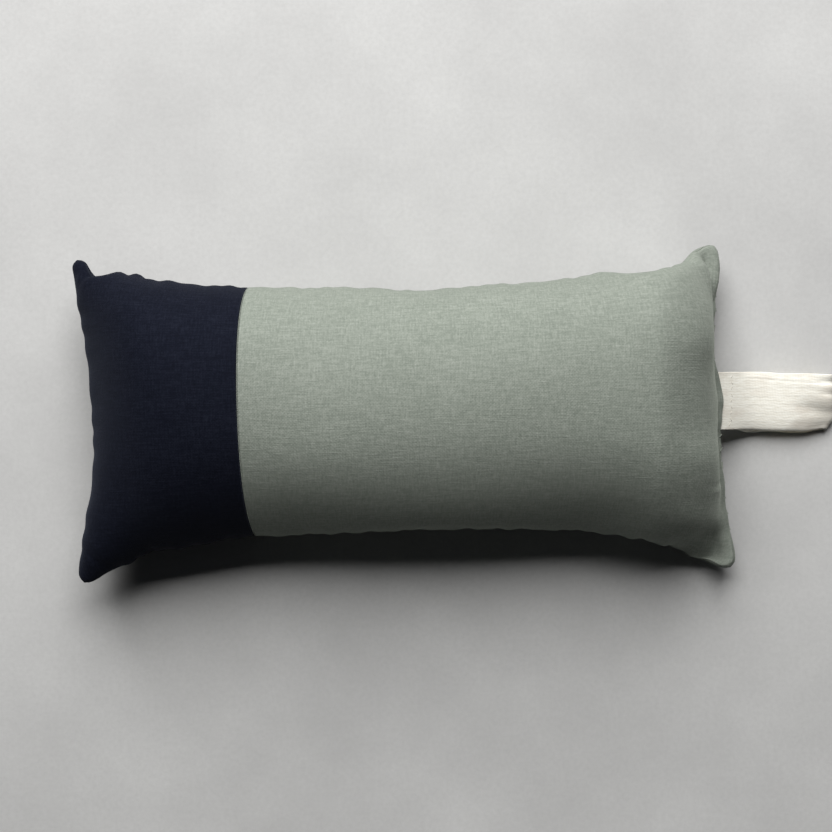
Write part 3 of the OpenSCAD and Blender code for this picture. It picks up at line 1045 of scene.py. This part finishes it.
def tape_profile(v):
    """The tape's middle line in side view, at a place across it, from one cut end to the other."""
    exit_x, exit_z = exit_point[0], exit_point[2]
    share = (v + TAPE_HALF_WIDTH) / (2 * TAPE_HALF_WIDTH)
    radius = FOLD_RADIUS + FOLD_OPENS * share ** 0.5
    fold_radius = radius * (1 - FOLD_PINCHED * smooth_step(-v, -3.0, 10.0))
    fold_x = tape_high[0] + 0.6 - fold_radius - TAPE_THICK / 2
    fold_x = fold_x - FOLD_ASKEW * smooth_step(-v, 4.5, 11.0) ** 1.2
    tail_x = exit_x + np.linspace(-TAIL_LENGTH, 0, TAIL_STEPS + 1)[:-1]
    x = np.concatenate([tail_x, np.linspace(exit_x, fold_x, PROFILE_STEPS)])
    out = x - exit_x
    radius = radius + (fold_radius - radius) * smooth_step(x, fold_x - 14, fold_x + 2)
    fold_radius = radius[-1]
    both = TAPE_THICK + TAPE_GAP
    apart = both + (2 * radius - both) * smooth_step(out, SEWN_LENGTH, 0.55 * (fold_x - exit_x))
    high = exit_z + both / 2
    top = high - (high - TAPE_LIE - 2 * radius) * smooth_step(out, -4.0, 13.5)
    # past the tack stitches the upper layer steps down a little
    dent = smooth_step(out, SEWN_LENGTH - 0.4, SEWN_LENGTH + 0.3) * (1 - smooth_step(out, 9.0, 14.0))
    top = top - 0.14 * dent
    turn = np.linspace(math.pi / 2, -math.pi / 2, FOLD_STEPS)[1:-1]
    fold = np.stack([np.cos(turn), 1 + np.sin(turn)], -1) * fold_radius + (fold_x, TAPE_LIE)
    upper = np.stack([x, top], -1)
    lower = np.stack([x, np.maximum(top - apart, TAPE_LIE)], -1)[::-1]
    return np.concatenate([upper, fold, lower])


def eased(profile, count):
    """A profile at even steps of its length, with its sharpest turns eased."""
    line = evenly(profile, count)
    for _ in range(2):
        line[1:-1] = (line[:-2] + 2 * line[1:-1] + line[2:]) / 4
    return line


middle_length = lengths(tape_profile(0.0))
tape_length = middle_length[-1]
TAPE_ROWS = int(round(tape_length / TAPE_STEP)) + 1
fine = np.linspace(0, tape_length, TAPE_ROWS)
# Places along the strip: the middle of its fold, and where its layers part on the upper side
top_count = TAIL_STEPS + PROFILE_STEPS
fold_at = (middle_length[top_count] + middle_length[top_count + FOLD_STEPS - 3]) / 2
sewn_at = TAIL_LENGTH + SEWN_LENGTH
# Hollows and ridges before the fold: place across the tape, how it drifts along it, reach and
# height, and how far before the fold it starts and is full
HOLLOWS = (
    (7.4, 0.0, 1.1, -0.75, 12, 5),
    (5.9, 0.0, 0.8, 0.15, 17, 6),
    (2.9, -0.05, 1.0, -0.30, 11, 5),
    (-3.6, -0.12, 2.2, -0.45, 20, 9),
)


def tape_points():
    """The whole strip in space, with the creases, ridges and hollows that handling left in it."""
    profiles = np.stack([eased(tape_profile(v), TAPE_ROWS) for v in w], 1)
    way = unit(np.gradient(profiles, axis=0))
    up = np.stack([-way[..., 1], way[..., 0]], -1)
    s = fine[:, None]
    v = w[None, :]
    from_fold = s - fold_at
    sewn_again = 2 * fold_at - sewn_at
    on_top = 1 - smooth_step(from_fold, -3, 4)
    free = smooth_step(s, sewn_at - 0.5, sewn_at + 6) * (1 - smooth_step(s, sewn_again - 6, sewn_again))
    # the far edge is turned down along a crease that runs slightly askew
    ridge = 8.3 - 1.2 * smooth_step(s, sewn_at, fold_at)
    turned = -0.17 * np.maximum(v - ridge, 0) - 0.10 * hump(v - ridge, -0.5, 0.35)
    turned = turned * smooth_step(s, sewn_at - 1, sewn_at + 3)
    hollows = 0
    for at, drift, reach, height, starts, full in HOLLOWS:
        hollow = height * hump(v - drift * from_fold, at, reach)
        hollows = hollows + hollow * smooth_step(from_fold, -starts, -full)
    hollows = hollows * (1 - smooth_step(from_fold, -2.5, 1.5))
    wrinkle = 0.018 * np.sin(v * 2.1 + 0.6 * np.sin(s * 0.21) + 1.1) * np.sin(s * 0.19 + 0.8)
    wrinkle = wrinkle + 0.012 * np.sin(v * 4.3 + 0.9 * np.sin(s * 0.33 + 2.0)) * np.cos(s * 0.27)
    off = ((turned + hollows) * on_top + wrinkle) * free
    # the loop swings to the near side, and the near edge is drawn in at the fold
    swing = -1.4 * smooth_step(profiles[..., 0], exit_point[0] + 4, tape_high[0])
    pull = 1.3 * smooth_step(-v, 1, 10)
    pull = pull * smooth_step(from_fold, -11, -1) * (1 - smooth_step(from_fold, 1, 11))
    x = profiles[..., 0] + up[..., 0] * off
    y = LOOP_Y + v + swing + pull - 0.8 * (1 - on_top) * free + 0.12 * np.sin(s * 0.35) * free
    z = np.maximum(profiles[..., 1] + up[..., 1] * off, TAPE_LIE)
    return np.stack([x, y, z], -1)


tape_middle = tape_points()
tape_normal = unit(np.cross(np.gradient(tape_middle, axis=0), np.gradient(tape_middle, axis=1)))
# the woven edges are a little thicker
selvedge = 1 + 0.35 * hump(TAPE_HALF_WIDTH - np.abs(w), 0, 0.7)[None, :, None]
offset = tape_normal * TAPE_THICK / 2 * selvedge
flat = np.stack(np.meshgrid(fine, w, indexing="ij"), -1)
tape_faces = grid_faces(numbered(tape_middle), False)
tape = thick_sheet("tape", tape_middle + offset, tape_middle - offset, tape_faces, flat)
add_piece(tape, twill_tape("cotton_tape", fold_at), ["loop_tails", "hanging_loop"], body=None)
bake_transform(tape)

# tack stitches in a row across the tape: each shows above the upper layer and below the lower one
TACK_OUT = 4.2
UP = np.array([0.0, 0.0, 1.0])
tacks = []
tack_row = int(round((TAIL_LENGTH + TACK_OUT) / TAPE_STEP))
for k, v in enumerate(np.linspace(-8.4, 8.4, 9)):
    at = tape_middle[tack_row, int(np.argmin(np.abs(w - v)))]
    half = np.array([0.35 * (-1) ** k, 0.75, 0])
    above = at + UP * (TAPE_THICK / 2 + 0.01)
    under = at - UP * (TAPE_THICK * 1.5 + 0.12)
    for face, sink in ((above, -0.3 * UP), (under, 0.3 * UP)):
        tacks.append([face - half + sink, face - half * 0.7, face, face + half * 0.7, face + half + sink])
tack = stitches("tack_stitches", tacks, TACK_THREAD)
add_piece(tack, natural_thread, ["loop_tack_stitches"], body="loop")


# ------ floor, light
floor_mesh = bpy.data.meshes.new("floor")
floor_mesh.from_pydata([(-3, -3, 0), (3, -3, 0), (3, 3, 0), (-3, 3, 0)], [], [(0, 1, 2, 3)])
floor = link(bpy.data.objects.new("floor", floor_mesh))
floor.data.materials.append(floor_material())

# one soft light, as of a window on the far side of the pillow, and a faint glow from the room
window = bpy.data.lights.new("window", "AREA")
window.shape = "RECTANGLE"
window.size = 0.85
window.size_y = 0.85
window.energy = 21.4
window.color = (1.0, 0.998, 0.99)
light = link(bpy.data.objects.new("window", window))
light.location = (-0.08, 0.70, 0.74)
light.rotation_euler = (-light.location).to_track_quat("-Z", "Y").to_euler()

world = bpy.data.worlds.new("room")
world.use_nodes = True
room = world.node_tree.nodes["Background"]
room.inputs["Color"].default_value = (0.90, 0.95, 1.0, 1)
room.inputs["Strength"].default_value = 0.017
bpy.context.scene.world = world
bpy.context.scene.view_settings.view_transform = "Standard"
bpy.context.scene.view_settings.look = "None"
